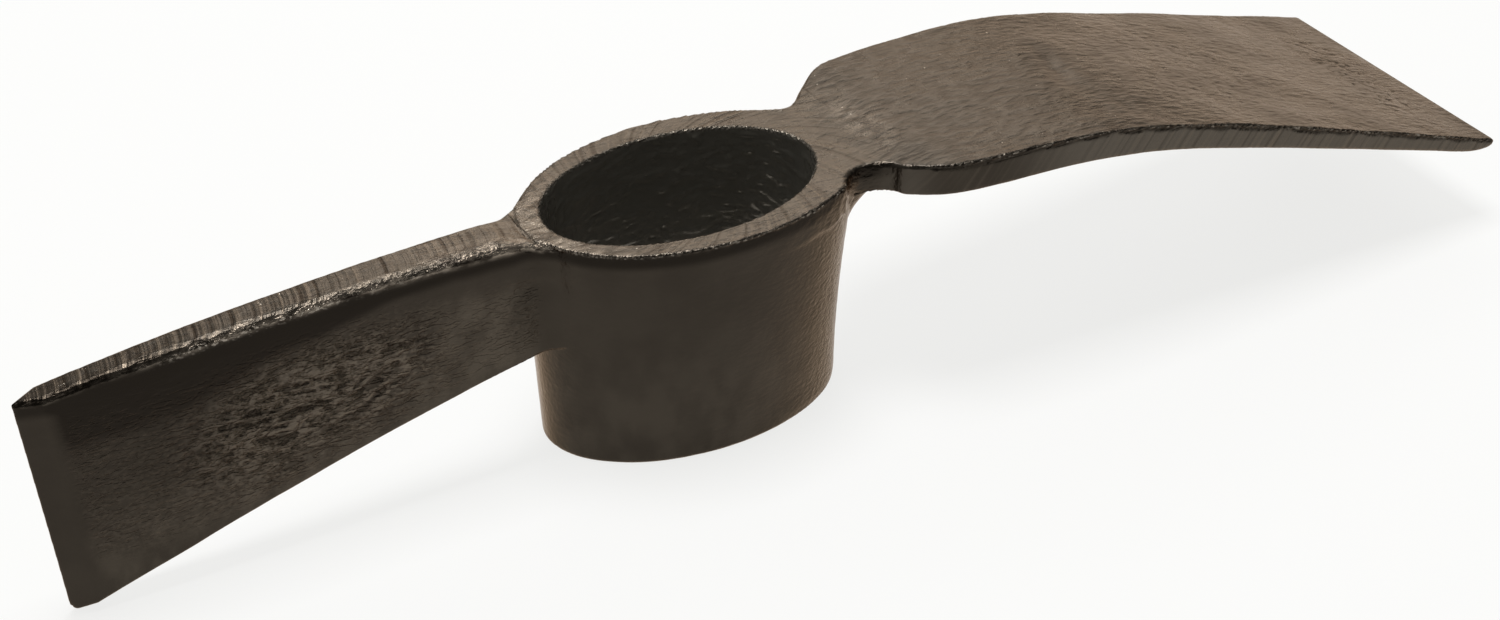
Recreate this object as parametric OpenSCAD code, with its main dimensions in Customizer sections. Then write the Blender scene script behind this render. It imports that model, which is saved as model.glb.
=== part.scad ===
// Mattock head: an oval eye collar with a cutter blade and an adze blade, joined at filled roots.
// Millimetres. The origin is on the eye's axis at the base, +X runs to the adze edge and +Z is up.

/* [Eye collar] */
// Height of the collar from its base to its rim
collar_height = 66; // [56:0.5:76]
// Length of the eye at the rim, along the head
eye_length = 76; // [66:0.5:86]
// Width of the eye at the rim
eye_width = 48.5; // [42:0.5:56]
// How far the eye closes in on each side from rim to base
eye_draft = 3.6; // [2.5:0.1:5]
// Wall at the rim on the two long sides
side_wall = 7.2; // [6:0.1:10]
// Wall at the rim at the cutter's end
cutter_wall = 6; // [5:0.1:9]
// Wall at the rim at the adze's end
adze_wall = 12.4; // [9:0.1:15]
// How far the outside closes in on each side from rim to base
collar_draft = 5.4; // [4:0.1:6.5]
// How far the base stands back from the middle of the rim, toward the cutter
collar_lean = 0.9; // [0:0.1:2]
// How far the outside hollows in below the rim at the adze's end
collar_hollow = 2; // [0:0.1:3]
// Bevel round the outer edge of the base
base_bevel = 0.9; // [0.3:0.1:1.5]
// Bevel round the outer edge of the rim
rim_bevel = 0.9; // [0.3:0.1:1.5]

/* [Cutter blade] */
// Reach from the eye's axis to the top corner of the cutting edge
cutter_reach = 177.5; // [160:0.5:200]
// How far the bottom corner of the cutting edge stands back from the top corner
cutter_skew = 6.6; // [0:0.1:12]
// Height of the blade's underside above the base, at the collar
cutter_root_clearance = 34; // [28:0.5:40]
// How far the underside arches up between the collar and the bottom corner
cutter_arch = 1.9; // [0:0.1:5]
// How far the back of the blade rises above the rim at its crown
cutter_crown = 2.8; // [0.5:0.1:5]
// Distance of that crown from the eye's axis
cutter_crown_at = 90; // [75:1:110]
// How far the back falls from its crown to the cutting edge
cutter_fall = 5.2; // [0:0.1:8]
// Thickness of the blade behind the ground bevel
cutter_edge_thickness = 6.8; // [5:0.1:9]
// Thickness of the blade at the collar
cutter_root_thickness = 12.6; // [10:0.1:16]
// Width of the ground bevel
cutter_bevel = 6.5; // [4:0.1:10]
// Radius of the bottom corner of the cutting edge
cutter_corner = 3.5; // [1:0.1:6]
// Radius of the blade's long edges
cutter_edge_round = 1.6; // [0.5:0.1:2.2]

/* [Adze blade] */
// Reach from the eye's axis to the cutting edge
adze_reach = 245; // [220:0.5:270]
// Width along the cutting edge
adze_edge_width = 87.2; // [78:0.2:100]
// Width across the shoulders
adze_shoulder_width = 65.2; // [58:0.2:74]
// Width of the neck at its narrowest
adze_neck_width = 34; // [28:0.2:40]
// How far the neck's narrowest place lies inside the collar's end
adze_neck_inset = 9.4; // [8:0.1:11]
// Sideways rise of the shoulder for each millimetre along the head
adze_shoulder_slope = 1.2; // [0.9:0.05:1.6]
// Radius of the hollow at the neck
adze_neck_round = 5.8; // [4:0.1:9]
// Length over which the shoulder rounds off
adze_shoulder_round = 7; // [4:0.1:11]
// Power of the flare from shoulders to edge; higher keeps it for the last part of the blade
adze_flare_power = 1.5; // [1:0.1:2.5]
// How far the flat of the blade stands above the rim
adze_lift = 2.8; // [1:0.1:4]
// Distance of the downward bend from the eye's axis
adze_bend_at = 118; // [100:1:140]
// Length over which the bend spreads
adze_bend_spread = 28; // [15:1:45]
// Angle of the blade below the level beyond the bend
adze_bend_angle = 18.7; // [8:0.1:24]
// Thickness of the blade at the neck and shoulders
adze_thickness = 8.8; // [7:0.1:11]
// Thickness of the blade behind the tip bevel
adze_tip_thickness = 5.2; // [4:0.1:6.5]
// Distance from the eye's axis at which the blade starts to thin
adze_taper_from = 108; // [95:1:130]
// Length of the bevel under the cutting edge
adze_bevel = 10; // [6:0.5:15]
// Radius of the blade's long edges
adze_edge_round = 1.1; // [0.4:0.1:1.8]

/* [Root welds] */
// How far each cutter cheek runs out along the blade from the collar
cheek_length = 14; // [9:0.5:20]
// How far each cheek reaches round the collar, as an angle of its oval
cheek_angle = 36; // [28:1:45]
// How far the cheeks stop short of the blade's rounded edges
cheek_setback = 0.3; // [0.1:0.1:2]
// How far the gusset runs out under the adze from the collar
gusset_length = 12.5; // [8:0.5:18]
// How far the gusset runs down the collar
gusset_drop = 20.5; // [15:0.5:34]
// Width of the gusset under the neck
gusset_width = 32; // [24:0.5:33]
// Share of that width left at the gusset's foot
gusset_foot = 0.6; // [0.4:0.05:0.9]
// Radius of the gusset's sides
gusset_round = 8; // [4:0.5:11]
// Thickness of the lips where the weld metal runs out along the blades
weld_lip = 0.4; // [0.2:0.1:0.8]
// How far the weld metal departs from a smooth run-out on the collar
weld_bite = 1.6; // [1:0.1:2.5]

/* [Hidden] */

lacquer = [0.16, 0.15, 0.14];
weld_lacquer = [0.2, 0.18, 0.16];

// Flat left at the cutting edges, and length over which the adze's taper eases in
edge_land = 0.8;
taper_ease = 0.8;
// How far the blades run into the collar before they are cut to it
root_sink = 12;
// Height that the cutting space is carried up past the rim
envelope_rise = 20;
// Length of close-set stations round the adze's neck, measured from the collar's end
neck_span = 30;
// Largest share of a bar's side that a corner radius may take
round_limit = 0.45;

// Steps along curves
oval_steps = 96;
collar_levels = 5;
corner_steps = 3;
cutter_steps = 28;
cutter_bevel_steps = 8;
cheek_steps = 10;
cheek_levels = 4;
adze_neck_steps = 24;
adze_steps = 20;
adze_bevel_steps = 6;
gusset_steps = 12;

rim_half_length = (eye_length + cutter_wall + adze_wall) / 2;
rim_half_width = eye_width / 2 + side_wall;
collar_shift = (adze_wall - cutter_wall) / 2;
cutter_end = collar_shift - rim_half_length;
adze_end = collar_shift + rim_half_length;
cutter_root = cutter_end + root_sink;
adze_root = adze_end - root_sink - adze_neck_inset / 2;

function clamp_unit(t) = min(1, max(0, t));
function soft_min(a, b, spread) = (a + b - sqrt((a - b) * (a - b) + spread * spread)) / 2;
function hollow(t) = 1 - sqrt(1 - t * t);
function spaced(from, to, steps) = [for (i = [0:steps]) from + (to - from) * i / steps];

// Outlines, given as closed rings of points
function oval_ring(half_length, half_width, shift, z, hollow = 0) =
    [for (i = [0:oval_steps - 1])
        let (a = 360 * i / oval_steps, reach = half_length - (cos(a) > 0 ? hollow : 0))
        [shift + reach * cos(a), half_width * sin(a), z]];
function below_rim(z) = 1 - z / collar_height;
function collar_half_length(z) = rim_half_length - collar_draft * below_rim(z);
function collar_half_width(z) = rim_half_width - collar_draft * below_rim(z);
function collar_centre(z) = collar_shift - collar_lean * below_rim(z);
function adze_end_hollow(z) = 4 * collar_hollow * below_rim(z) * (1 - below_rim(z));
function collar_ring(z, inset = 0) =
    oval_ring(collar_half_length(z) - inset, collar_half_width(z) - inset, collar_centre(z), z,
        adze_end_hollow(z));
function eye_ring(z) =
    let (in = eye_draft * below_rim(z))
    oval_ring(eye_length / 2 - in, eye_width / 2 - in, 0, z);
function round_corner(y, z, radius, start) =
    [for (i = [0:corner_steps])
        let (a = start + 90 * i / corner_steps)
        [y + radius * cos(a), z + radius * sin(a)]];
function round_bar(y_low, y_high, z_low, z_high, radius) =
    let (r = min(radius, round_limit * (y_high - y_low), round_limit * (z_high - z_low)))
    concat(
        round_corner(y_high - r, z_high - r, r, 0),
        round_corner(y_low + r, z_high - r, r, 90),
        round_corner(y_low + r, z_low + r, r, 180),
        round_corner(y_high - r, z_low + r, r, 270));

// Skin over a row of rings, with flat ends; a closed row joins its last ring to its first
module skin(rings, closed = false) {
    n = len(rings[0]);
    m = len(rings);
    walls = [
        for (j = [0:m - (closed ? 1 : 2)], i = [0:n - 1])
            let (
                a = j * n + i,
                b = j * n + (i + 1) % n,
                c = ((j + 1) % m) * n + (i + 1) % n,
                d = ((j + 1) % m) * n + i)
            each [[a, d, c], [a, c, b]]
    ];
    ends = closed ? [] : [[for (i = [0:n - 1]) i], [for (i = [n - 1:-1:0]) (m - 1) * n + i]];
    polyhedron(points = [for (ring = rings) each ring], faces = concat(walls, ends));
}

collar_wall = [for (z = spaced(base_bevel, collar_height - rim_bevel, collar_levels)) collar_ring(z)];

// Space that the collar fills, carried up past its rim, for seating the blades on it
module collar_envelope() {
    rim = collar_ring(collar_height);
    skin(concat([collar_ring(0)], collar_wall, [rim], [[for (p = rim) p + [0, 0, envelope_rise]]]));
}

module eye_collar() {
    color(lacquer)
    skin(concat(
        [collar_ring(0, base_bevel)],
        collar_wall,
        [collar_ring(collar_height, rim_bevel), eye_ring(collar_height), eye_ring(0)]), closed = true);
}

// Cutter blade: back, underside and half thickness along the head
cutter_bottom_corner = cutter_skew - cutter_reach;
cutter_bevel_at = cutter_bevel - cutter_reach;
function cutter_back(x) =
    let (t = (x + cutter_crown_at) / (cutter_reach - cutter_crown_at))
    collar_height + cutter_crown - cutter_fall * t * t;
function cutter_underside(x) =
    let (
        t = (x - cutter_end) / (cutter_bottom_corner - cutter_end),
        d = clamp_unit(1 - (x - cutter_bottom_corner) / cutter_corner))
    cutter_root_clearance * (1 - t) + 4 * cutter_arch * t * (1 - t) + cutter_corner * hollow(d);
function cutter_half(x) =
    let (
        t = (x - cutter_bevel_at) / (cutter_end - cutter_bevel_at),
        body = cutter_edge_thickness + (cutter_root_thickness - cutter_edge_thickness) * t)
    x > cutter_bevel_at ? body / 2
        : (edge_land + (cutter_edge_thickness - edge_land) * (x + cutter_reach) / cutter_bevel) / 2;
// Sideways lean of a station at height fraction t, full at the cutting edge and gone at the crown
function cutter_lean(x, t) =
    cutter_skew * (1 - t) * clamp_unit((-cutter_crown_at - x) / (cutter_reach - cutter_crown_at));
function cutter_ring(x) =
    let (
        high = cutter_back(x),
        low = cutter_underside(x + cutter_lean(x, 0)),
        half = cutter_half(x))
    [for (p = round_bar(-half, half, low, high, cutter_edge_round))
        [x + cutter_lean(x, (p[1] - low) / (high - low)), p[0], p[1]]];
cutter_stations = concat(
    [for (t = spaced(0, 1, cutter_bevel_steps)) -cutter_reach + cutter_bevel * t * t],
    [for (i = [1:cutter_steps]) cutter_bevel_at + (cutter_root - cutter_bevel_at) * i / cutter_steps]);

module cutter_blade() {
    color(lacquer)
    difference() {
        skin([for (x = cutter_stations) cutter_ring(x)]);
        collar_envelope();
    }
}

// One cheek on the blade's +Y face: in plan it runs along the face to the collar, round the collar's
// side, and back along a hollow curve that stands off the collar's tangent by the bite
function curve_point(p, q, r, t) = (1 - t) * (1 - t) * p + 2 * t * (1 - t) * q + t * t * r;
function cheek_ring(z) =
    let (
        a = collar_half_length(z),
        b = collar_half_width(z),
        centre = collar_centre(z),
        start_x = centre - a - cheek_length,
        start = [start_x, cutter_half(start_x) + weld_lip],
        face_angle = asin(cutter_half(centre - a) / b),
        side = [for (angle = spaced(face_angle, cheek_angle, cheek_steps))
            [centre - a * cos(angle), b * sin(angle)]],
        end = side[cheek_steps],
        tangent_x = end[0] - (end[1] - start[1]) * a / b * tan(cheek_angle),
        turn = [tangent_x - weld_bite, start[1]],
        back = [for (i = [cheek_steps - 1:-1:0]) curve_point(start, turn, end, i / cheek_steps)])
    [for (p = concat([[start_x, cutter_half(start_x)]], side, back)) [p[0], p[1], z]];
cheek_low = cutter_underside(cutter_end) + cutter_edge_round + cheek_setback;
cheek_high = cutter_back(cutter_end) - cutter_edge_round - cheek_setback;

module cutter_root_weld() {
    color(weld_lacquer)
    for (side = [0, 1])
        mirror([0, side, 0])
            skin([for (z = spaced(cheek_low, cheek_high, cheek_levels)) cheek_ring(z)]);
}

// Adze blade: half width, top and thickness along the head
adze_neck_at = adze_end - adze_neck_inset;
adze_bevel_at = adze_reach - adze_bevel;
function adze_half(x) =
    let (
        slope = adze_shoulder_slope,
        spread = adze_neck_round * slope,
        run = x - adze_neck_at,
        neck = adze_neck_width / 2 + slope * (sqrt(run * run + spread * spread) - spread),
        along = clamp_unit(run / (adze_reach - adze_neck_at)),
        spare = (adze_edge_width - adze_shoulder_width) / 2,
        flare = adze_shoulder_width / 2 + spare * pow(along, adze_flare_power))
    soft_min(neck, flare, adze_shoulder_round);
function adze_top(x) =
    let (run = x - adze_bend_at)
    collar_height + adze_lift
        - tan(adze_bend_angle) / 2 * (run + sqrt(run * run + adze_bend_spread * adze_bend_spread));
function adze_body(x) =
    let (t = (x - adze_taper_from) / (adze_bevel_at - adze_taper_from))
    soft_min(adze_thickness, adze_thickness + (adze_tip_thickness - adze_thickness) * t, taper_ease);
function adze_depth(x) =
    let (t = clamp_unit((x - adze_bevel_at) / adze_bevel))
    edge_land + (adze_body(x) - edge_land) * (1 - t * t);
function adze_ring(x) =
    let (half = adze_half(x), high = adze_top(x))
    [for (p = round_bar(-half, half, high - adze_depth(x), high, adze_edge_round)) [x, p[0], p[1]]];
adze_plain_at = adze_end + neck_span;
adze_stations = concat(
    spaced(adze_root, adze_plain_at, adze_neck_steps),
    [for (i = [1:adze_steps]) adze_plain_at + (adze_bevel_at - adze_plain_at) * i / adze_steps],
    [for (i = [1:adze_bevel_steps]) adze_bevel_at + adze_bevel * i / adze_bevel_steps]);

module adze_plate() {
    skin([for (x = adze_stations) adze_ring(x)]);
}

module adze_blade() {
    color(lacquer)
    difference() {
        adze_plate();
        collar_envelope();
    }
}

// Gusset under the neck, hollow between the collar's wall and the blade's underside
gusset_top = adze_top(adze_end) - adze_thickness;
function gusset_ring(t) =
    let (
        z = gusset_top - gusset_drop * (1 - t),
        wall = collar_centre(z) + collar_half_length(z) - adze_end_hollow(z),
        front = wall - weld_bite + (gusset_length + weld_bite) * hollow(t),
        half = gusset_width / 2 * (gusset_foot + (1 - gusset_foot) * t))
    [for (p = round_bar(adze_root, front, -half, half, gusset_round)) [p[0], p[1], z]];

module adze_root_weld() {
    color(weld_lacquer)
    difference() {
        skin([for (t = spaced(0, 1, gusset_steps)) gusset_ring(t)]);
        collar_envelope();
        adze_plate();
    }
}

eye_collar();
cutter_blade();
cutter_root_weld();
adze_blade();
adze_root_weld();
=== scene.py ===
"""Forged mattock head with black lacquer, shown on a pale floor.

The head is one rounded form, described by distances in millimetres. Each CAD node's share of that form
is meshed as a piece of its own, then roughened as a forging is and lacquered.
"""
import itertools
import math
from types import SimpleNamespace

import bpy
import numpy as np
from mathutils import Matrix, Vector


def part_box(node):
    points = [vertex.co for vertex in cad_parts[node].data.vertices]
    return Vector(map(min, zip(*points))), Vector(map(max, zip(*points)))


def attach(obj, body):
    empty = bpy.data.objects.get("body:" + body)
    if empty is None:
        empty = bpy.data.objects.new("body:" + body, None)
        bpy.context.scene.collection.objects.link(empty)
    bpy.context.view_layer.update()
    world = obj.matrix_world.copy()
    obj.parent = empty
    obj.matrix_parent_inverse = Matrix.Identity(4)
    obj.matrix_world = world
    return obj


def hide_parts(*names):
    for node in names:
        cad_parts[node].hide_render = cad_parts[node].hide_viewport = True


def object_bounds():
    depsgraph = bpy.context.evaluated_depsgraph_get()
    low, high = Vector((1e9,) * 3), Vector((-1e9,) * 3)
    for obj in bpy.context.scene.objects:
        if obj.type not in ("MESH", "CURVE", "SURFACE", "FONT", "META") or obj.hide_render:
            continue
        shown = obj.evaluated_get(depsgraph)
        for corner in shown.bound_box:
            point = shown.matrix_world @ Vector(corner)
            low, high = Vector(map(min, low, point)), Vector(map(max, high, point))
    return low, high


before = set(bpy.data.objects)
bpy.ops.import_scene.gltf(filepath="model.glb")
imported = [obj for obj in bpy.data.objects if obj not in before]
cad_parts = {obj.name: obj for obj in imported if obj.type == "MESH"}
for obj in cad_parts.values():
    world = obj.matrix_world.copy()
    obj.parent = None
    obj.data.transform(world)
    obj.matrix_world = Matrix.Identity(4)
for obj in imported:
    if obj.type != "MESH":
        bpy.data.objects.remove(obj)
cad_low, cad_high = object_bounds()

MM = 0.001


def box_mm(node):
    """Lowest and highest corner of a CAD node, in millimetres."""
    low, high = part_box(node)
    return np.array(low) / MM, np.array(high) / MM


# Driving sizes in millimetres: overall ones from the frame, the rest close to the CAD's own
_, collar_high = box_mm("eye_collar")
cutter_low, _ = box_mm("cutter_blade")
_, adze_high = box_mm("adze_blade")

collar_height = collar_high[2]
eye_length, eye_width, eye_draft = 76.0, 48.5, 3.6
cutter_wall, adze_wall, side_wall = 6.0, 12.4, 7.2
collar_draft, collar_lean, collar_hollow = 5.0, 0.9, 2.0

cutter_reach = -cutter_low[0]
cutter_skew, cutter_corner = 6.6, 1.6
cutter_root_clearance, cutter_arch = 34.0, 2.4
cutter_crown, cutter_crown_at, cutter_fall = 2.8, 90.0, 5.2
cutter_edge_thickness, cutter_root_thickness, cutter_bevel = 6.8, 12.6, 6.5
cutter_round_near, cutter_round_far, cutter_round_below = 2.0, 1.0, 1.0
cutter_shoulder_depth, cutter_belly, cutter_belly_run = 7.0, 0.8, 30.0
cutter_lean_near, cutter_lean_far = 1.2, 1.1
far_lean_from, far_lean_full = -40.0, -120.0
cutter_onto_rim = 10.0

adze_reach = adze_high[0]
adze_edge_width, adze_shoulder_width, adze_neck_width = 87.2, 66.0, 34.0
adze_neck_inset, adze_neck_round, adze_far_shift = 9.4, 5.8, 1.5
adze_shoulder_slope, adze_shoulder_round, adze_flare_power = 1.2, 7.0, 1.25
adze_lift, adze_bend_at, adze_bend_spread, adze_bend_angle = 2.8, 118.0, 28.0, 18.7
adze_thickness, adze_tip_thickness, adze_taper_from, adze_bevel = 8.8, 5.2, 108.0, 12.0
adze_edge_round, adze_taper_round = 0.9, 0.8
adze_off_rim, adze_onto_rim = 14.0, 6.0
neck_swell, neck_swell_at, neck_swell_spread = 1.3, 49.0, 9.0

edge_land, land_round = 0.8, 0.35
rim_round, eye_round, base_round = 0.9, 0.9, 0.7
root_fillet_near, root_fillet_far = 4.5, 10.5
neck_fillet_near, neck_fillet_far, gusset_fillet = 2.4, 6.0, 13.0
neck_notch_x, neck_notch_y, neck_notch_radius = 44.2, -25.6, 8.6
gusset_half_width, gusset_round = 16.5, 6.0

rim_half_length = (eye_length + cutter_wall + adze_wall) / 2
rim_half_width = eye_width / 2 + side_wall
collar_shift = (adze_wall - cutter_wall) / 2
cutter_end = collar_shift - rim_half_length
adze_end = collar_shift + rim_half_length
cutter_bottom_corner = cutter_skew - cutter_reach
cutter_bevel_at = cutter_bevel - cutter_reach
adze_neck_at = adze_end - adze_neck_inset
adze_bevel_at = adze_reach - adze_bevel


# Plain shape helpers
def smooth_step(low, high, value):
    """From 0 where the value is low to 1 where it is high, eased at both ends; high may be the lesser."""
    t = np.clip((value - low) / (high - low), 0, 1)
    return t * t * (3 - 2 * t)


def between(value, low, high, ease):
    """1 where the value lies between low and high, eased to 0 on both sides."""
    return smooth_step(low - ease, low + ease, value) * smooth_step(high + ease, high - ease, value)


def bump_at(value, centre, spread):
    """1 where the value is at the centre, falling to 0 on both sides."""
    return np.exp(-(((value - centre) / spread) ** 2))


def soft_min(a, b, spread):
    """The lesser of two values, rounded where they cross."""
    return (a + b - np.sqrt((a - b) ** 2 + spread * spread)) / 2


def round_union(a, b, radius):
    """Both forms together, with a hollow fillet where they meet."""
    near = np.hypot(np.maximum(radius - a, 0), np.maximum(radius - b, 0))
    return np.maximum(radius, np.minimum(a, b)) - near


def round_meet(a, b, radius):
    """What lies in both forms, with a rounded edge where they meet."""
    near = np.hypot(np.maximum(radius + a, 0), np.maximum(radius + b, 0))
    return np.minimum(-radius, np.maximum(a, b)) + near


def oval_distance(x, y, half_length, half_width):
    """Distance to an upright oval wall, close to true near the wall."""
    tiny = 1e-6
    scaled = np.sqrt((x / half_length) ** 2 + (y / half_width) ** 2) + tiny
    steepness = np.sqrt((x / half_length**2) ** 2 + (y / half_width**2) ** 2) + tiny
    return scaled * (scaled - 1) / steepness


# The head's surfaces as distances
def collar_wall_distance(x, y, z):
    below = 1 - z / collar_height
    dx = x - collar_shift + collar_lean * below
    hollow = np.where(dx > 0, 4 * collar_hollow * below * (1 - below), 0)
    inset = collar_draft * below
    return oval_distance(dx, y, rim_half_length - inset - hollow, rim_half_width - inset)


def eye_distance(x, y, z):
    inset = eye_draft * (1 - z / collar_height)
    return oval_distance(x, y, eye_length / 2 - inset, eye_width / 2 - inset)


def cutter_back(x):
    """Height of the cutter's back."""
    run = (x + cutter_crown_at) / (cutter_reach - cutter_crown_at)
    return collar_height + cutter_crown - cutter_fall * run * run


def cutter_underside(x):
    """Height of the cutter's lower edge, with its rounded corner."""
    along = (x - cutter_end) / (cutter_bottom_corner - cutter_end)
    corner = np.clip(1 - (x - cutter_bottom_corner) / cutter_corner, 0, 1)
    rise = cutter_corner * (1 - np.sqrt(1 - corner * corner))
    return cutter_root_clearance * (1 - along) + 4 * cutter_arch * along * (1 - along) + rise


def cutter_half(x):
    """Half the cutter's thickness, ground down to the land of its edge."""
    along = (x - cutter_bevel_at) / (cutter_end - cutter_bevel_at)
    body = cutter_edge_thickness + (cutter_root_thickness - cutter_edge_thickness) * along
    ground = edge_land + (cutter_edge_thickness - edge_land) * (x + cutter_reach) / cutter_bevel
    return np.where(x > cutter_bevel_at, body, ground) / 2


def cutter_upright(x, z):
    """The station that a point belongs to, with the lean of the cutting edge taken out."""
    low = cutter_underside(x)
    height = np.clip((z - low) / (cutter_back(x) - low), 0, 1)
    lean = np.clip((-cutter_crown_at - x) / (cutter_reach - cutter_crown_at), 0, 1)
    return x - cutter_skew * (1 - height) * lean


def adze_half(x):
    """Half the adze's width: neck, shoulders and flare."""
    run = np.maximum(x - adze_neck_at, 0)
    spread = adze_neck_round * adze_shoulder_slope
    neck = adze_neck_width / 2 + adze_shoulder_slope * (np.sqrt(run * run + spread * spread) - spread)
    along = np.clip(run / (adze_reach - adze_neck_at), 0, 1)
    spare = (adze_edge_width - adze_shoulder_width) / 2
    return soft_min(neck, adze_shoulder_width / 2 + spare * along**adze_flare_power, adze_shoulder_round)


def adze_top(x):
    """Height of the adze's upper face, bent down towards its edge."""
    run = x - adze_bend_at
    drop = math.tan(math.radians(adze_bend_angle)) / 2
    return collar_height + adze_lift - drop * (run + np.sqrt(run * run + adze_bend_spread**2))


def adze_depth(x):
    """Thickness of the adze, with a rounded nose and a fuller neck."""
    along = (x - adze_taper_from) / (adze_bevel_at - adze_taper_from)
    tapered = adze_thickness + (adze_tip_thickness - adze_thickness) * along
    body = soft_min(adze_thickness, tapered, adze_taper_round)
    bevel = np.clip((x - adze_bevel_at) / adze_bevel, 0, 1)
    swell = neck_swell * bump_at(x, neck_swell_at, neck_swell_spread)
    return edge_land + (body - edge_land) * np.sqrt(1 - bevel * bevel) + swell


def head(x, y, z):
    """Distances to the whole head and to the surfaces that part it into pieces."""
    near = y < 0
    wall = collar_wall_distance(x, y, z)
    collar = round_meet(round_meet(wall, z - collar_height, rim_round), -z, base_round)

    station = cutter_upright(x, z)
    onto_rim = smooth_step(cutter_end - cutter_onto_rim, cutter_end, x)
    cutter_top = cutter_back(station) * (1 - onto_rim) + collar_height * onto_rim
    rise = np.clip(1 - (cutter_top - z) / cutter_shoulder_depth, 0, 1)
    belly = cutter_belly * smooth_step(cutter_bevel_at, cutter_bevel_at + cutter_belly_run, station)
    far_lean = cutter_lean_far * smooth_step(far_lean_from, far_lean_full, x)
    lean = np.where(near, cutter_lean_near, far_lean) * belly / cutter_belly
    cutter_side = np.abs(y) - cutter_half(station) - belly + lean * rise**2
    cutter_below = cutter_underside(x) - z
    root_fillet = np.where(near, root_fillet_near, root_fillet_far)
    top_round = np.where(near, cutter_round_near, cutter_round_far)
    cutter = round_meet(round_union(wall, cutter_side, root_fillet), z - cutter_top, top_round)
    cutter = round_meet(cutter, cutter_below, cutter_round_below)
    cutter = np.maximum(round_meet(cutter, -cutter_reach - station, land_round), x)

    adze_side = np.abs(y) - adze_half(x + np.where(y > 0, adze_far_shift, 0))
    onto_rim = smooth_step(adze_end + adze_off_rim, adze_end - adze_onto_rim, x)
    adze_upper = adze_top(x) * (1 - onto_rim) + collar_height * onto_rim
    adze_below = adze_top(x) - adze_depth(x) - z
    neck_fillet = np.where(near, neck_fillet_near, neck_fillet_far)
    adze = round_meet(round_union(wall, adze_side, neck_fillet), z - adze_upper, adze_edge_round)
    adze = round_meet(adze, adze_below, adze_edge_round)
    adze = np.maximum(round_meet(adze, x - adze_reach, land_round), -x)

    web = round_union(wall, adze_below, gusset_fillet)
    web = np.maximum(web, np.maximum(-adze_below - adze_thickness / 2, collar_height / 2 - z))
    gusset = round_meet(web, np.abs(y) - gusset_half_width, gusset_round)

    whole = np.minimum(np.minimum(collar, cutter), np.minimum(adze, np.maximum(gusset, -x)))
    whole = round_meet(whole, -eye_distance(x, y, z), eye_round)
    notch = neck_notch_radius - np.hypot(x - neck_notch_x, y - neck_notch_y)
    whole = round_meet(whole, notch, adze_edge_round)
    return {
        "whole": whole,
        "wall": wall,
        "cutter_side": cutter_side,
        "root_fillet": root_fillet,
        "cutter_below": cutter_below,
        "adze_side": adze_side,
        "neck_fillet": neck_fillet,
        "adze_below": adze_below,
        "across": np.abs(y),
        "along": x,
    }


# Each piece's share of the head, negative where the piece is on top
seam_lip = 0.1


def most(*distances):
    return np.maximum.reduce(distances)


shares = {
    "eye_collar": lambda d: d["wall"],
    "cutter_blade": lambda d: most(
        -d["wall"],
        d["along"],
        d["cutter_side"] - seam_lip,
        d["cutter_below"] - seam_lip),
    "cutter_root_weld": lambda d: most(
        -d["wall"],
        d["wall"] - d["root_fillet"],
        seam_lip - d["cutter_side"],
        d["cutter_side"] - d["root_fillet"],
        d["along"],
        d["cutter_below"] - seam_lip),
    "adze_blade": lambda d: most(
        -d["wall"],
        -d["along"],
        d["adze_side"] - d["neck_fillet"],
        d["adze_below"] - seam_lip),
    "adze_root_weld": lambda d: most(
        -d["wall"],
        d["wall"] - gusset_fillet,
        seam_lip - d["adze_below"],
        d["adze_below"] - gusset_fillet,
        -d["along"],
        d["across"] - gusset_half_width),
}
seam_overlap, seam_dip = 1.2, 0.12


def piece_field(node):
    """The head within one piece's share, running on a little under its neighbours."""
    def field(x, y, z):
        distances = head(x, y, z)
        share = shares[node](distances)
        return np.maximum(distances["whole"] + seam_dip * np.maximum(share, 0), share - seam_overlap)
    return field


# Meshing
spare_cells = 3
slope_reach = 0.08
settling_rounds, least_slope = 2, 0.2


def unpinched(values):
    """Grid values with corners filled where the form touches itself corner to corner."""
    just_inside = -1e-4
    pinched = True
    while pinched:
        pinched = False
        for axis in range(3):
            layers = np.moveaxis(values, axis, 0)
            a, b = layers[:, :-1, :-1], layers[:, 1:, :-1]
            c, d = layers[:, :-1, 1:], layers[:, 1:, 1:]
            rising = (a < 0) & (d < 0) & (b >= 0) & (c >= 0)
            b[rising] = just_inside
            falling = (b < 0) & (c < 0) & (a >= 0) & (d >= 0)
            a[falling] = just_inside
            pinched = pinched or rising.any() or falling.any()
    return values


def surface_net(field, low, high, step):
    """Quads over the surface where the field is zero, as points in millimetres and faces."""
    margin = spare_cells * step
    axes = [np.arange(a - margin, b + margin, step) for a, b in zip(low, high)]
    values = unpinched(field(*np.meshgrid(*axes, indexing="ij")))
    cells = np.array(values.shape) - 1
    places, owners, quads = [], [], []
    for axis in range(3):
        inside = np.moveaxis(values < 0, axis, 0)
        crossed = np.moveaxis(inside[1:] != inside[:-1], 0, axis)
        start = np.argwhere(crossed)
        end = start.copy()
        end[:, axis] += 1
        at_start, at_end = values[tuple(start.T)], values[tuple(end.T)]
        place = start.astype(float)
        place[:, axis] += at_start / (at_start - at_end)
        ring = []
        for du, dv in ((0, 0), (-1, 0), (-1, -1), (0, -1)):
            cell = start.copy()
            cell[:, (axis + 1) % 3] += du
            cell[:, (axis + 2) % 3] += dv
            ring.append(np.ravel_multi_index(cell.T, cells))
            places.append(place)
            owners.append(ring[-1])
        ring = np.stack(ring, 1)
        ring[at_start > 0] = ring[at_start > 0][:, ::-1]
        quads.append(ring)
    owners, places = np.concatenate(owners), np.concatenate(places)
    used, index = np.unique(owners, return_inverse=True)
    count = np.bincount(index)
    points = np.stack([np.bincount(index, places[:, k]) / count for k in range(3)], 1)
    points = np.array([a[0] for a in axes]) + points * step
    return points, np.searchsorted(used, np.concatenate(quads))


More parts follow.
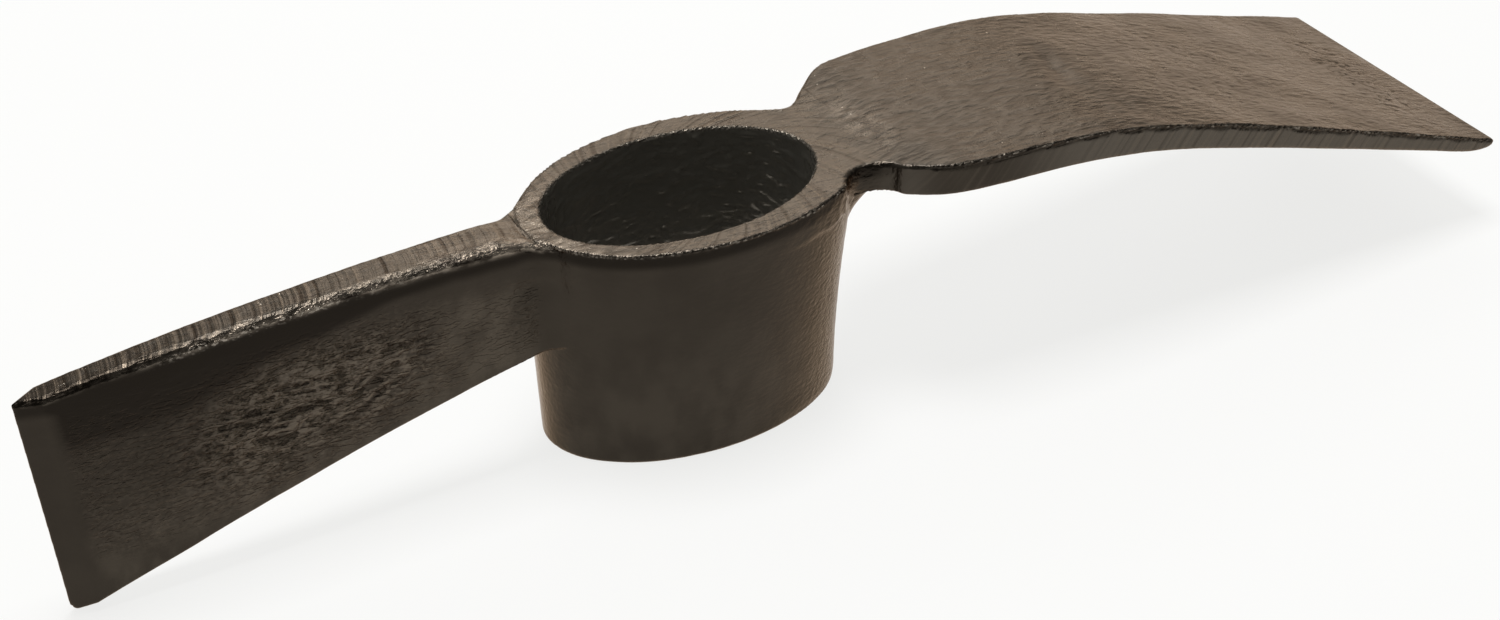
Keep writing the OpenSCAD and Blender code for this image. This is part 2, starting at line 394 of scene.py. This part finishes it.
def slope(field, points):
    """Gradient of a field at points."""
    rows = []
    for axis in range(3):
        shift = np.zeros(3)
        shift[axis] = slope_reach
        rise = field(*(points + shift).T) - field(*(points - shift).T)
        rows.append(rise / (2 * slope_reach))
    return np.stack(rows, 1)


def settled(field, points, step):
    """Points moved onto the zero surface."""
    for _ in range(settling_rounds):
        gradient = slope(field, points)
        size = np.maximum((gradient**2).sum(1), least_slope)
        move = np.clip(field(*points.T) / size, -step / 2, step / 2)
        points = points - move[:, None] * gradient
    return points


# Seeded noise
rng = np.random.default_rng(11)
noise_cells = 256
noise_order = rng.permutation(noise_cells)
noise_slopes = rng.normal(size=(noise_cells, 3))
noise_slopes /= np.linalg.norm(noise_slopes, axis=1, keepdims=True)
noise_gain, seed_shift = 1.6, 31.7
ridge_sharpness = 1.8
stripe_stretch = 0.1


def noise(points, size, seed=0):
    """Smooth lumps of about the given size, from about -1 to 1."""
    places = points / np.broadcast_to(size, 3) + seed_shift * seed
    cell = np.floor(places).astype(int)
    inner = places - cell
    ease = inner**3 * (inner * (inner * 6 - 15) + 10)
    total = np.zeros(len(points))
    for corner in itertools.product((0, 1), repeat=3):
        key = np.zeros(len(points), int)
        for axis in range(3):
            key = noise_order[(key + cell[:, axis] + corner[axis]) % noise_cells]
        pull = (noise_slopes[key] * (inner - corner)).sum(1)
        total += pull * np.where(corner, ease, 1 - ease).prod(1)
    return noise_gain * total


def ridges(points, size, seed=0):
    """Sharp crests between rounded hollows, from 0 to 1."""
    return np.clip(1 - ridge_sharpness * np.abs(noise(points, size, seed)), 0, 1) ** 2


def stripe_places(across, first, second):
    """Places where noise is drawn out into stripes: quick one way, slow the other two."""
    return np.stack([across, stripe_stretch * first, stripe_stretch * second], 1)


# Relief of the forging: heights in millimetres, added up in broad and small
flow_size, flow_reach = 14, 3.0
edge_spread = 0.6


def survey(points, normals):
    """Where each point lies: distances in millimetres, shares from 0 to 1, and a first plain relief."""
    x, y, z = points.T
    site = SimpleNamespace(points=points, **head(x, y, z))
    site.rising = normals[:, 2]
    site.upward = smooth_step(0.5, 0.85, site.rising)
    upright = smooth_step(0.75, 0.45, np.abs(site.rising))
    site.near_side = smooth_step(1, -1, y)
    site.burred = 0.25 + 0.75 * smooth_step(4, -4, y)
    site.on_cutter = smooth_step(cutter_end + 1, cutter_end - 3, x)
    site.on_adze = smooth_step(adze_end - 4, adze_end + 5, x)
    site.on_collar = (1 - site.on_cutter) * (1 - site.on_adze)
    site.eye_gap = eye_distance(x, y, z)
    site.near_eye = smooth_step(2.5, 0.5, site.eye_gap)
    site.inside = upright * site.near_eye
    site.outside = upright * (1 - site.near_eye)
    top = collar_height + site.on_cutter * (cutter_back(x) - collar_height)
    top += site.on_adze * (adze_top(x) - collar_height)
    site.drop = top - z
    flow = np.stack([noise(points, flow_size, seed) for seed in (20, 21, 22)], 1)
    site.warped = points + flow_reach * flow
    site.broad = 0.15 * noise(points, 26) + 0.05 * noise(points, 9, seed=1)
    site.small = 0.025 * noise(points, 3.2, seed=2)
    return site


def relieve_cutter_back(site):
    """Shear marks and a flaky border on the cutter's back, with a torn bead below its edges."""
    x, y, z = site.points.T
    shear_slant, shear_curve, shear_depth = 0.25, 0.02, 0.05
    border_least, border_gain, border_waver = 0.4, 3.4, 0.8
    flake_height, flake_depth = 0.08, 0.16
    bead_height, bead_depth = 0.13, 0.20

    site.back = site.upward * site.on_cutter
    site.stripe_back = x - shear_slant * y + shear_curve * y * y
    lines = stripe_places(site.stripe_back, y, z)
    shear = shear_depth * noise(lines, 1.4, seed=3) + shear_depth * noise(lines, 3.4, seed=4)
    site.small += site.back * shear

    border = border_least + border_gain * smooth_step(-112, -58, x)
    border += border_waver * noise(site.points, 6, seed=27)
    # The border reaches down over the rounded near edge, where its pale colour also serves as painted sheen.
    flaky = smooth_step(0.05, 0.4, site.rising) * smooth_step(cutter_end + 4, cutter_end, x) * site.near_side
    flaky *= smooth_step(border + 0.5, border - 0.4, -site.cutter_side)
    flaky *= (0.25 + 0.75 * smooth_step(-158, -118, x)) * smooth_step(3.0, 1.6, site.drop)
    site.small += flaky * (flake_depth * noise(site.warped, (3.4, 1.3, 2), seed=28) + flake_height)
    site.flaky = flaky

    torn = site.burred * site.outside * between(x, -142, -70, 12) * bump_at(site.drop, 1.5, 1.0)
    torn *= 0.4 + 0.6 * smooth_step(-0.3, 0.3, noise(site.points, 15, seed=37))
    site.small += torn * (bead_height + bead_depth * noise(site.warped, (1.2, 1.2, 1.3), seed=5))
    site.torn = torn


def relieve_cutter_faces(site):
    """Folds, pebbles, fine wrinkles, broad waves and pits on the cutter's faces."""
    x, _, z = site.points.T
    fold_depth, fine_fold_depth, fold_sink = 0.4, 0.28, 0.16
    pebble_depth, grit_depth, wrinkle_depth, wave_depth = 0.09, 0.06, 0.13, 0.34
    pit_names = ("x", "z", "half_length", "half_height", "depth")
    pits = ((-44.0, 61.0, 4.5, 1.7, 0.35), (-46.5, 54.5, 7.0, 2.4, 0.5),
            (-88.0, 37.5, 3.6, 1.5, 0.4), (-80.0, 33.0, 3.0, 1.3, 0.3))

    site.ground = cutter_upright(x, z) - cutter_bevel_at
    site.face = site.outside * site.on_cutter * smooth_step(-1, 5, site.ground)
    rough_face = site.face * smooth_step(0, 6, -site.cutter_below)

    fold_line = 41 + 0.15 * (x + 106)
    site.folded = rough_face * between(x, -136, -80, 14) * bump_at(z, fold_line, 11)
    folds = fold_depth * ridges(site.warped, (12, 8, 3.0), seed=7)
    fine_folds = fine_fold_depth * ridges(site.warped, (5, 4, 1.6), seed=8)
    site.small += site.folded * (folds + fine_folds - fold_sink)

    site.pebbled = rough_face * between(z, 14, 57, 8) * (0.45 + 0.55 * smooth_step(-62, -106, x))
    site.pebbled *= 1 - 0.6 * smooth_step(-112, -138, x)
    pebbles = pebble_depth * noise(site.warped, (3.0, 2.4, 1.9), seed=9)
    site.small += site.pebbled * (pebbles + grit_depth * noise(site.points, 1.4, seed=29))

    wrinkled = rough_face * smooth_step(-100, -135, x) * between(z, 14, 60, 6)
    site.small += wrinkled * wrinkle_depth * ridges(site.warped, (5, 5, 1.4), seed=10)
    wavy = site.face * smooth_step(-98, -72, x)
    site.broad += wavy * wave_depth * noise(site.points, (7, 9, 15), seed=35)
    for numbers in pits:
        pit = SimpleNamespace(**dict(zip(pit_names, numbers)))
        hollow = bump_at(x, pit.x, pit.half_length) * bump_at(z, pit.z, pit.half_height)
        site.broad -= pit.depth * site.outside * hollow


def relieve_adze_top(site):
    """Grain, broad bands, cracks, a dent and a scale patch on the adze's upper face."""
    x, y, z = site.points.T
    grain_depth, lump_depth = 0.04, 0.08
    band_cosine, band_sine, band_stretch, band_depth, wave_depth = 0.88, 0.47, 0.15, 0.36, 0.2
    crack_depth, dent_depth, dent_slant = 0.28, 0.8, 0.22
    scale_depth, scale_sink = 0.14, 0.12

    plate = site.upward * site.on_adze
    grain = grain_depth * noise(site.warped, (3.6, 1.7, 4), seed=11)
    site.small += plate * (grain + lump_depth * noise(site.warped, (11, 6, 6), seed=12))

    band_along = band_cosine * x + band_sine * y
    band_across = band_cosine * y - band_sine * x
    diagonal = np.stack([band_along, band_stretch * band_across, 0 * z], 1)
    waves = wave_depth * noise(site.points, (26, 14, 20), seed=34)
    site.broad += plate * (band_depth * noise(diagonal, 19, seed=13) + waves)

    at_edge = between(x, 219, 236, 4) * between(y, -26, 24, 6)
    at_middle = between(x - 0.4 * y, 145, 185, 12) * between(y, -24, 24, 8)
    cracked = plate * (at_edge + 0.6 * at_middle)
    site.small -= cracked * crack_depth * ridges(site.warped, (8, 3.4, 8), seed=14) ** 3

    site.broad -= plate * dent_depth * bump_at(x - dent_slant * (y - 2), 119.5, 3.6) * bump_at(y, 2, 11)
    site.scaled = plate * bump_at(x, 53, 7) * bump_at(y, 2, 15)
    site.small += site.scaled * (scale_depth * noise(site.points, 2.4, seed=15) - scale_sink)


def relieve_adze_sides(site):
    """Rolled upper edge with a bead, and slanting shear marks, on the adze's sides."""
    x, y, z = site.points.T
    roll_least, roll_gain, roll_waver, roll_depth = 1.2, 0.5, 1.2, 0.4
    bead_height, bead_depth = 0.05, 0.09
    shear_slant, shear_depth = 0.69, 0.05

    site.side = site.outside * site.on_adze
    roll_end = roll_least + roll_gain * smooth_step(54, 70, x)
    roll_end += roll_waver * noise(site.points, (5, 5, 30), seed=16)
    site.rolled = site.side * smooth_step(roll_end, 0.6, site.drop)
    site.broad -= roll_depth * site.burred * site.rolled

    at_edge = bump_at(site.drop, 0, edge_spread) * bump_at(site.adze_side, 0, edge_spread)
    site.bead = site.burred * site.on_adze * at_edge
    site.small += site.bead * (bead_height + bead_depth * noise(site.points, 1.2, seed=30))

    site.stripe_side = x - shear_slant * z
    lines = stripe_places(site.stripe_side, y, z)
    site.small += site.side * shear_depth * noise(lines, 3.2, seed=17)


def relieve_collar(site):
    """Rim, lips of the eye and rim, upper band, chamfered lower edge and eye wall of the collar."""
    x, y, z = site.points.T
    rim_stripe_depth, rim_lump_depth = 0.05, 0.06
    lip_height, lip_depth = 0.10, 0.10
    crease_depth, crease_waver = 0.4, 0.2
    roll_depth, roll_drop = 0.7, 5
    band_height, band_fold_depth, band_waver = 0.55, 0.25, 0.8
    shell_depth, chamfer_depth = 0.05, 0.2
    seam_depth, eye_lump_depth = 0.28, 0.08

    site.rim = site.upward * site.on_collar
    site.stripe_rim = 30 * np.arctan2(y, x) + 0.8 * site.eye_gap
    lines = stripe_places(site.stripe_rim, site.eye_gap, 0 * z)
    lumps = rim_lump_depth * noise(site.points, 4.0, seed=19)
    site.small += site.rim * (rim_stripe_depth * noise(lines, 2.4, seed=18) + lumps)

    off_neck = 1 - smooth_step(-10, 10, x) * smooth_step(1.5, 0, site.adze_side)
    outer_lip = site.on_collar * (off_neck * bump_at(site.wall, 0, edge_spread))
    lips = np.maximum(bump_at(site.eye_gap, 0, edge_spread), outer_lip)
    site.edge = bump_at(site.drop, 0, edge_spread) * lips
    site.small += site.edge * (lip_height + lip_depth * noise(site.points, 2.0, seed=23))
    crease = site.upward * smooth_step(-20, -34, x) * bump_at(site.wall, 0.9, 0.8)
    site.small -= crease * (crease_depth + crease_waver * noise(site.points, 2.2, seed=31))

    site.shell = site.outside * site.on_collar
    site.broad -= site.shell * roll_depth * np.clip(1 - site.drop / roll_drop, 0, 1) ** 2
    wavering = site.drop + band_waver * noise(site.points, 8, seed=24)
    banded = site.shell * smooth_step(8, 34, x) * smooth_step(9.8, 8.4, wavering)
    site.broad += banded * band_height
    site.small += banded * band_fold_depth * ridges(site.warped, (7, 7, 2.4), seed=25)
    site.small += site.shell * smooth_step(15, 45, x) * shell_depth * noise(site.points, 2.4, seed=32)
    site.chamfer = site.shell * smooth_step(2.1, 1.5, z) * smooth_step(8, 30, x)
    site.broad -= chamfer_depth * site.chamfer

    seams = seam_depth * ridges(site.warped, (9, 9, 2.4), seed=26) ** 3
    site.small += site.inside * (seams + eye_lump_depth * noise(site.points, 4, seed=33))


def relief_share(site):
    """How much of the relief is left: none at the two cutting edges, little on the ground bevel."""
    x = site.points[:, 0]
    keen = smooth_step(0.2, 5, x + cutter_reach) * smooth_step(0.2, 4, adze_reach - x)
    return keen * (1 - 0.8 * site.on_cutter * smooth_step(4, -1, site.ground))


def lacquer_marks(site):
    """What the materials read at each point: the place across the stripes, and shares of each finish."""
    x, _, z = site.points.T

    # Painted shade in black, standing in for the dark that these faces reflect: a band below the cutter's
    # upper edge, its dim end over the near edge where it hides a highlight, the adze's rolled edge and below
    # the rim; darker towards the cutter's tip
    band_top = 2.9 - 0.8 * smooth_step(-150, -95, x)
    band_end = 10 - 5 * smooth_step(-115, -70, x) + 6 * smooth_step(-105, -140, x)
    band_fade = 1.5 + 3.5 * smooth_step(-105, -140, x)
    below_edge = site.drop + 0.8 * noise(site.points, 9, seed=36)
    band = site.face * smooth_step(band_top - 1.1, band_top + 1.1, below_edge)
    band *= smooth_step(band_end + band_fade, band_end - band_fade, below_edge)
    dim_edge = site.near_side * site.on_cutter * smooth_step(-118, -150, x)
    dim_edge *= smooth_step(2.6, 0.8, -site.cutter_side) * smooth_step(6, 3, site.drop)
    dim_face = site.face * smooth_step(-112, -142, x) * smooth_step(20, 38, z)
    dim_back = site.back * smooth_step(-130, -160, x)
    under_rim = site.shell * smooth_step(5, 2.5, site.drop)
    smooth = band + 0.9 * dim_edge + 1.2 * site.rolled + under_rim + 0.35 * dim_face + 0.25 * dim_back

    # Stripes, flakes, paler places, painted lower light and painted sheen
    bare_side = site.side * (1 - site.rolled)
    striped = site.back * (1 - site.flaky)
    striped += bare_side * (0.15 + 0.3 * smooth_step(95, 130, x))
    striped += 0.6 * site.rim
    # Flakes and scale patch in a pale colour; the rim's paler left end is painted sheen where it would catch
    # the back light.
    flakes_and_painted_sheen = site.flaky + 0.6 * site.scaled + 0.7 * site.rim * smooth_step(-22, -36, x)
    flakes_and_painted_sheen += 0.3 * site.back * smooth_step(-84, -52, x)
    # Painted light from below: the lower cutter faces and lower collar are paler, as if lit by a bright
    # floor close beneath; the cutter's face near its root is paler too.
    low_face = site.face * smooth_step(40, 14, z - 0.12 * (x + 110)) * (1 - 0.5 * smooth_step(-135, -165, x))
    root_face = site.face * smooth_step(-95, -65, x) * smooth_step(-46, -56, x) * between(z, 31, 57, 5)
    lower = low_face + 0.35 * site.shell * smooth_step(50, 10, z) + root_face
    patchy = 0.5 + 0.8 * smooth_step(-0.35, 0.35, noise(site.points, (9, 9, 30), seed=38))
    # Paler tone on the adze's sides, the rim and the cutter's back towards its root, with painted sheen on
    # the rim and a painted reflected line along the collar's lower chamfer.
    pale_and_painted_sheen = bare_side * np.maximum(smooth_step(72, 108, x), 0.6 * smooth_step(62, 52, x))
    pale_and_painted_sheen += 0.5 * site.chamfer
    pale_and_painted_sheen += patchy * site.rim
    pale_and_painted_sheen += 1.1 * site.back * smooth_step(-135, -60, x)

    rim_or_side = np.where(x > adze_end + 2, site.stripe_side, site.stripe_rim)
    return {
        "stripe": np.where(x < cutter_end, site.stripe_back, rim_or_side),
        "striped": np.clip(striped, 0, 1),
        "topside": np.clip(site.upward * (1 - site.near_eye * (site.drop > 3)), 0, 1),
        "crest": np.clip(0.5 + site.small / 0.5, 0, 1),
        "smooth": np.clip(smooth, 0, 1),
        "flakes_and_painted_sheen": np.clip(flakes_and_painted_sheen, 0, 1),
        # Where painted glints go: torn crumbs, lips of the eye and rim, and edge beads.
        "glinting": np.clip(site.torn + site.edge + 1.4 * site.bead, 0, 1),
        "inner": site.near_eye * (1 - site.upward),
        "lower": np.clip(lower, 0, 1),
        "pale_and_painted_sheen": np.clip(pale_and_painted_sheen, 0, 1),
        "rugged": np.clip(0.75 * site.pebbled + site.folded, 0, 1.2),
        "shell": site.shell * (0.25 + 0.75 * smooth_step(15, 45, x)),
    }


def relief(points, normals):
    """Height over the plain form in millimetres, and marks for the materials."""
    site = survey(points, normals)
    relieve_cutter_back(site)
    relieve_cutter_faces(site)
    relieve_adze_top(site)
    relieve_adze_sides(site)
    relieve_collar(site)
    return relief_share(site) * (site.broad + site.small), lacquer_marks(site)


# Materials
class Graph:
    """Short calls for building the nodes of a material or of the world."""

    def __init__(self, owner):
        owner.use_nodes = True
        self.nodes, self.links = owner.node_tree.nodes, owner.node_tree.links

    def node(self, kind, **settings):
        made = self.nodes.new(kind)
        for name, value in settings.items():
            setattr(made, name, value)
        return made

    def put(self, socket, value):
        if isinstance(value, bpy.types.NodeSocket):
            self.links.new(value, socket)
        else:
            socket.default_value = value

    def mark(self, name):
        return self.node("ShaderNodeAttribute", attribute_name=name).outputs["Fac"]

    def math(self, operation, first, second):
        made = self.node("ShaderNodeMath", operation=operation)
        self.put(made.inputs[0], first)
        self.put(made.inputs[1], second)
        return made.outputs[0]

    def plus(self, first, second):
        return self.math("ADD", first, second)

    def minus(self, first, second):
        return self.math("SUBTRACT", first, second)

    def times(self, first, second):
        return self.math("MULTIPLY", first, second)

    def larger(self, first, second):
        return self.math("MAXIMUM", first, second)

    def ramp(self, value, low, high, start=0.0, end=1.0):
        made = self.node("ShaderNodeMapRange", interpolation_type="SMOOTHSTEP")
        for socket, number in zip(made.inputs, (value, low, high, start, end)):
            self.put(socket, number)
        return made.outputs[0]

    def mix(self, share, first, second):
        made = self.node("ShaderNodeMix", data_type="RGBA")
        self.put(made.inputs["Factor"], share)
        self.put(made.inputs[6], first)
        self.put(made.inputs[7], second)
        return made.outputs[2]

    def noise(self, place, scale, detail, stretch=(1, 1, 1)):
        stretched = self.node("ShaderNodeMapping")
        self.put(stretched.inputs["Vector"], place)
        self.put(stretched.inputs["Scale"], stretch)
        made = self.node("ShaderNodeTexNoise")
        self.put(made.inputs["Vector"], stretched.outputs[0])
        self.put(made.inputs["Scale"], scale)
        self.put(made.inputs["Detail"], detail)
        return made.outputs["Fac"]

    def streaks(self, along, scale, detail):
        made = self.node("ShaderNodeTexNoise", noise_dimensions="1D")
        self.put(made.inputs["W"], along)
        self.put(made.inputs["Scale"], scale)
        self.put(made.inputs["Detail"], detail)
        return made.outputs["Fac"]


def lacquer(name, roughness):
    """Black lacquer over forging scale: satin and warm, a little glossier in the painted shade, with painted
    shade, painted top light, painted highlights and painted glints laid into its colour.
    """
    material = bpy.data.materials.new(name)
    graph = Graph(material)
    shader = graph.nodes["Principled BSDF"]
    place = graph.node("ShaderNodeTexCoord").outputs["Object"]

    # Patterns, with scales per metre
    grain = graph.noise(place, scale=640, detail=5, stretch=(0.35, 1, 1))
    pebbles = graph.noise(place, scale=900, detail=4, stretch=(0.6, 1, 1))
    crumbs = graph.noise(place, scale=1300, detail=3, stretch=(0.7, 1, 1))
    mottle = graph.noise(place, scale=55, detail=5)
    streaks = graph.streaks(graph.mark("stripe"), scale=0.55, detail=7)
    flakes = graph.noise(place, scale=520, detail=5, stretch=(0.4, 1, 1))
    flakes = graph.ramp(flakes, 0.39, 0.63)
    glints = graph.noise(place, scale=1350, detail=3, stretch=(0.6, 1, 1.1))
    glints = graph.ramp(glints, 0.53, 0.61)
    creases = graph.noise(place, scale=560, detail=4, stretch=(0.4, 1, 1.2))
    creases = graph.math("ABSOLUTE", graph.minus(creases, 0.5), 0)
    wrinkles = graph.ramp(creases, 0.0, 0.09)
    specks = graph.ramp(graph.noise(place, scale=800, detail=1), 0.78, 0.82)
    blotches = graph.noise(place, scale=150, detail=5, stretch=(1, 1, 0.6))
    blotches = graph.ramp(blotches, 0.36, 0.64, start=0.15, end=1.0)

    # Colours, laid over each other
    black, dark = (0.010, 0.0082, 0.0062, 1), (0.027, 0.0222, 0.0170, 1)
    brown, low_light_brown = (0.050, 0.0418, 0.0320, 1), (0.071, 0.0592, 0.0452, 1)
    pale, flaky = (0.115, 0.095, 0.073, 1), (0.25, 0.212, 0.170, 1)
    painted_glint, inner = (0.46, 0.41, 0.345, 1), (0.135, 0.129, 0.110, 1)
    top_lit_low, top_lit_high = (0.044, 0.0397, 0.0335, 1), (0.077, 0.0693, 0.0585, 1)
    side = (0.096, 0.0835, 0.068, 1)
    colour = graph.mix(graph.ramp(mottle, 0.3, 0.7, start=0.1, end=0.5), dark, brown)
    # Painted light from below, broken up by blotches.
    colour = graph.mix(graph.times(graph.mark("lower"), blotches), colour, low_light_brown)
    # Painted highlights on the crests and painted shade in the hollows of the rugged faces, partly thinner
    # and pooled lacquer too.
    broken_crest = graph.plus(graph.times(graph.mark("crest"), 0.75), graph.times(crumbs, 1.1))
    broken_crest = graph.ramp(broken_crest, 0.90, 1.20, start=0.0, end=0.7)
    colour = graph.mix(graph.times(broken_crest, graph.mark("rugged")), colour, pale)
    hollow = graph.ramp(graph.mark("crest"), 0.45, 0.1, start=0.0, end=0.2)
    colour = graph.mix(graph.times(hollow, graph.mark("rugged")), colour, black)
    # Painted top light: a paler, grainy colour on upward faces.
    top_light_share = graph.times(graph.mark("topside"), graph.ramp(mottle, 0.25, 0.75, start=0.6, end=1.0))
    painted_top_light = graph.mix(graph.ramp(grain, 0.36, 0.64), top_lit_low, top_lit_high)
    colour = graph.mix(top_light_share, colour, painted_top_light)
    # Paler colour, with painted sheen on the rim and a painted reflected line at the lower chamfer.
    colour = graph.mix(graph.times(graph.mark("pale_and_painted_sheen"), 0.8), colour, side)
    # Painted shade: black over the marked dark bands, under the rolled edge and below the rim.
    colour = graph.mix(graph.mark("smooth"), colour, black)
    # The eye's inner wall: a neutral colour paler than the lacquer, partly its own tone and partly painted
    # light lifting the recess.
    colour = graph.mix(graph.mark("inner"), colour, inner)
    striped = graph.times(graph.mark("striped"), graph.ramp(streaks, 0.48, 0.70))
    colour = graph.mix(striped, colour, pale)
    dulled = graph.times(graph.mark("striped"), graph.ramp(streaks, 0.46, 0.32))
    colour = graph.mix(dulled, colour, dark)
    # Pale flakes and scale, with painted sheen on the rim's left end and over the cutter's rounded near
    # edge.
    colour = graph.mix(graph.times(graph.mark("flakes_and_painted_sheen"), flakes), colour, flaky)
    # Painted glints: a bright metal colour at raised torn crumbs, lips and edge beads, and in sparse specks
    # on upward faces.
    raised = graph.ramp(graph.mark("crest"), 0.4, 0.8)
    glinting = graph.times(graph.times(graph.mark("glinting"), glints), raised)
    speckled = graph.times(graph.mark("topside"), specks)
    colour = graph.mix(graph.larger(glinting, speckled), colour, painted_glint)
    graph.put(shader.inputs["Base Color"], colour)

    # Gloss
    rough = graph.ramp(mottle, 0.25, 0.75, start=roughness - 0.05, end=roughness + 0.05)
    rough = graph.plus(rough, graph.times(graph.mark("topside"), 0.09))
    rough = graph.minus(rough, graph.times(graph.mark("smooth"), 0.05))
    rough = graph.plus(rough, graph.times(glinting, 0.3))
    graph.put(shader.inputs["Roughness"], rough)
    graph.put(shader.inputs["Metallic"], graph.ramp(graph.mark("inner"), 0, 1, start=0.8, end=0.3))
    shader.inputs["IOR"].default_value = 1.5
    shader.inputs["Specular Tint"].default_value = (1.0, 0.80, 0.64, 1)

    # Grain too fine for the mesh
    fine = graph.times(grain, graph.plus(graph.times(graph.mark("topside"), 0.9), 0.25))
    wrinkled = graph.plus(pebbles, graph.times(wrinkles, 0.7))
    pebbled = graph.times(wrinkled, graph.times(graph.mark("rugged"), 1.05))
    pebbled = graph.plus(pebbled, graph.times(pebbles, graph.times(graph.mark("shell"), 1.5)))
    lined = graph.times(streaks, graph.mark("striped"))
    rough_edge = graph.larger(graph.mark("flakes_and_painted_sheen"), graph.mark("glinting"))
    crumbled = graph.times(graph.times(crumbs, rough_edge), 1.4)
    total = graph.plus(graph.plus(fine, pebbled), graph.plus(lined, crumbled))
    bump = graph.node("ShaderNodeBump")
    bump.inputs["Strength"].default_value = 0.8
    bump.inputs["Distance"].default_value = 0.00045
    graph.put(bump.inputs["Height"], total)
    graph.put(shader.inputs["Normal"], bump.outputs["Normal"])
    return material


# Pieces, with the step of each meshing grid and its room round the CAD box in millimetres
mesh_steps = {
    "eye_collar": 0.65,
    "cutter_blade": 0.45,
    "cutter_root_weld": 0.5,
    "adze_blade": 0.66,
    "adze_root_weld": 0.5,
}
box_margin = 12.0
slots = {"cutter_root_weld": "root_lacquer", "adze_root_weld": "root_lacquer"}
slot_roughness = {"forged_lacquer": 0.18, "root_lacquer": 0.19}
materials = {slot: lacquer(slot, roughness) for slot, roughness in slot_roughness.items()}

for node, step in mesh_steps.items():
    field = piece_field(node)
    low, high = box_mm(node)
    points, faces = surface_net(field, low - box_margin, high + box_margin, step)
    points = settled(field, points, step)
    normals = slope(field, points)
    normals /= np.linalg.norm(normals, axis=1, keepdims=True)
    height, marks = relief(points, normals)
    points = np.clip(points + height[:, None] * normals, np.array(cad_low) / MM, np.array(cad_high) / MM)
    mesh = bpy.data.meshes.new(node + "_forged")
    mesh.from_pydata((points * MM).tolist(), [], faces.tolist())
    mesh.polygons.foreach_set("use_smooth", np.ones(len(faces), bool))
    for name, values in marks.items():
        mesh.attributes.new(name, "FLOAT", "POINT").data.foreach_set("value", values)
    slot = slots.get(node, "forged_lacquer")
    mesh.materials.append(materials[slot])
    piece = bpy.data.objects.new(node + "_forged", mesh)
    bpy.context.scene.collection.objects.link(piece)
    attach(piece, "root")
    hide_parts(node)


# Floor, light and camera, in metres
scene = bpy.context.scene
scene.view_settings.view_transform = "Standard"

floor_size, floor_gap = 8.0, 0.0002
floor_dim, floor_bright = (0.85, 0.865, 0.88, 1), (0.87, 0.885, 0.90, 1)
floor_glow, floor_glow_share = (1, 1, 0.985, 1), 0.8
sky_colour, sky_near, sky_far = (1, 0.98, 0.95, 1), 0.14, 0.4
lamp_colour = (1.0, 0.985, 0.975)
camera_place = (-0.32552, -0.564436, 0.463737)
camera_azimuth, camera_elevation = -31.5504, 33.8174


def floor_material():
    """Pale floor that the camera and reflections see near white, with the object's shadow kept."""
    material = bpy.data.materials.new("studio_floor")
    graph = Graph(material)
    shader = graph.nodes["Principled BSDF"]
    place = graph.node("ShaderNodeTexCoord").outputs["Object"]
    tone = graph.noise(place, scale=3, detail=2)
    graph.put(shader.inputs["Base Color"], graph.mix(tone, floor_dim, floor_bright))
    shader.inputs["Roughness"].default_value = 0.9
    shader.inputs["Specular IOR Level"].default_value = 0.1
    path = graph.node("ShaderNodeLightPath").outputs
    seen = graph.larger(path["Is Camera Ray"], path["Is Glossy Ray"])
    seen = graph.larger(seen, path["Is Transmission Ray"])
    glow = graph.node("ShaderNodeEmission")
    glow.inputs["Color"].default_value = floor_glow
    glow.inputs["Strength"].default_value = 1.0
    blend = graph.node("ShaderNodeMixShader")
    graph.put(blend.inputs[0], graph.times(seen, floor_glow_share))
    graph.put(blend.inputs[1], shader.outputs[0])
    graph.put(blend.inputs[2], glow.outputs[0])
    graph.put(graph.nodes["Material Output"].inputs["Surface"], blend.outputs[0])
    return material


bpy.ops.mesh.primitive_plane_add(size=floor_size, location=(0, 0, -floor_gap))
floor = bpy.context.object
floor.name = "studio_floor"
floor.data.materials.append(floor_material())

world = bpy.data.worlds.new("studio")
scene.world = world
sky = Graph(world)
background = sky.nodes["Background"]
background.inputs["Color"].default_value = sky_colour
direction = sky.node("ShaderNodeSeparateXYZ")
sky.put(direction.inputs[0], sky.node("ShaderNodeTexCoord").outputs["Generated"])
sky_strength = sky.ramp(direction.outputs["Y"], -0.6, 0.9, start=sky_near, end=sky_far)
sky.put(background.inputs["Strength"], sky_strength)


def softbox(name, place, aim, size, power):
    """Rectangular lamp that faces a point."""
    light = bpy.data.lights.new(name, "AREA")
    light.shape = "RECTANGLE"
    light.size, light.size_y = size
    light.energy = power
    light.color = lamp_colour
    lamp = bpy.data.objects.new(name, light)
    scene.collection.objects.link(lamp)
    lamp.location = place
    lamp.rotation_mode = "QUATERNION"
    lamp.rotation_quaternion = (Vector(aim) - Vector(place)).to_track_quat("-Z", "Y")


softbox("back_softbox", place=(0.64, 1.08, 0.86), aim=(0.02, 0, 0.06), size=(0.95, 0.5), power=3.8)
softbox("low_softbox", place=(1.05, 1.08, 0.22), aim=(0.1, 0, 0.05), size=(1.1, 0.38), power=1.05)
softbox("top_softbox", place=(0.0, 0.15, 1.5), aim=(0, 0, 0), size=(0.6, 0.6), power=17)

camera_data = bpy.data.cameras.new("camera")
camera = bpy.data.objects.new("camera", camera_data)
scene.collection.objects.link(camera)
scene.camera = camera
azimuth, elevation = math.radians(camera_azimuth), math.radians(camera_elevation)
level = math.cos(elevation)
right = Vector((math.cos(azimuth), math.sin(azimuth), 0))
back = Vector((math.sin(azimuth) * level, -math.cos(azimuth) * level, math.sin(elevation)))
up = back.cross(right)
turn = Matrix((right, up, back)).transposed()
camera.matrix_world = Matrix.Translation(camera_place) @ turn.to_4x4()
camera_data.lens, camera_data.sensor_width = 72, 36
camera_data.sensor_fit = "HORIZONTAL"
camera_data.clip_start, camera_data.clip_end = 0.05, 20
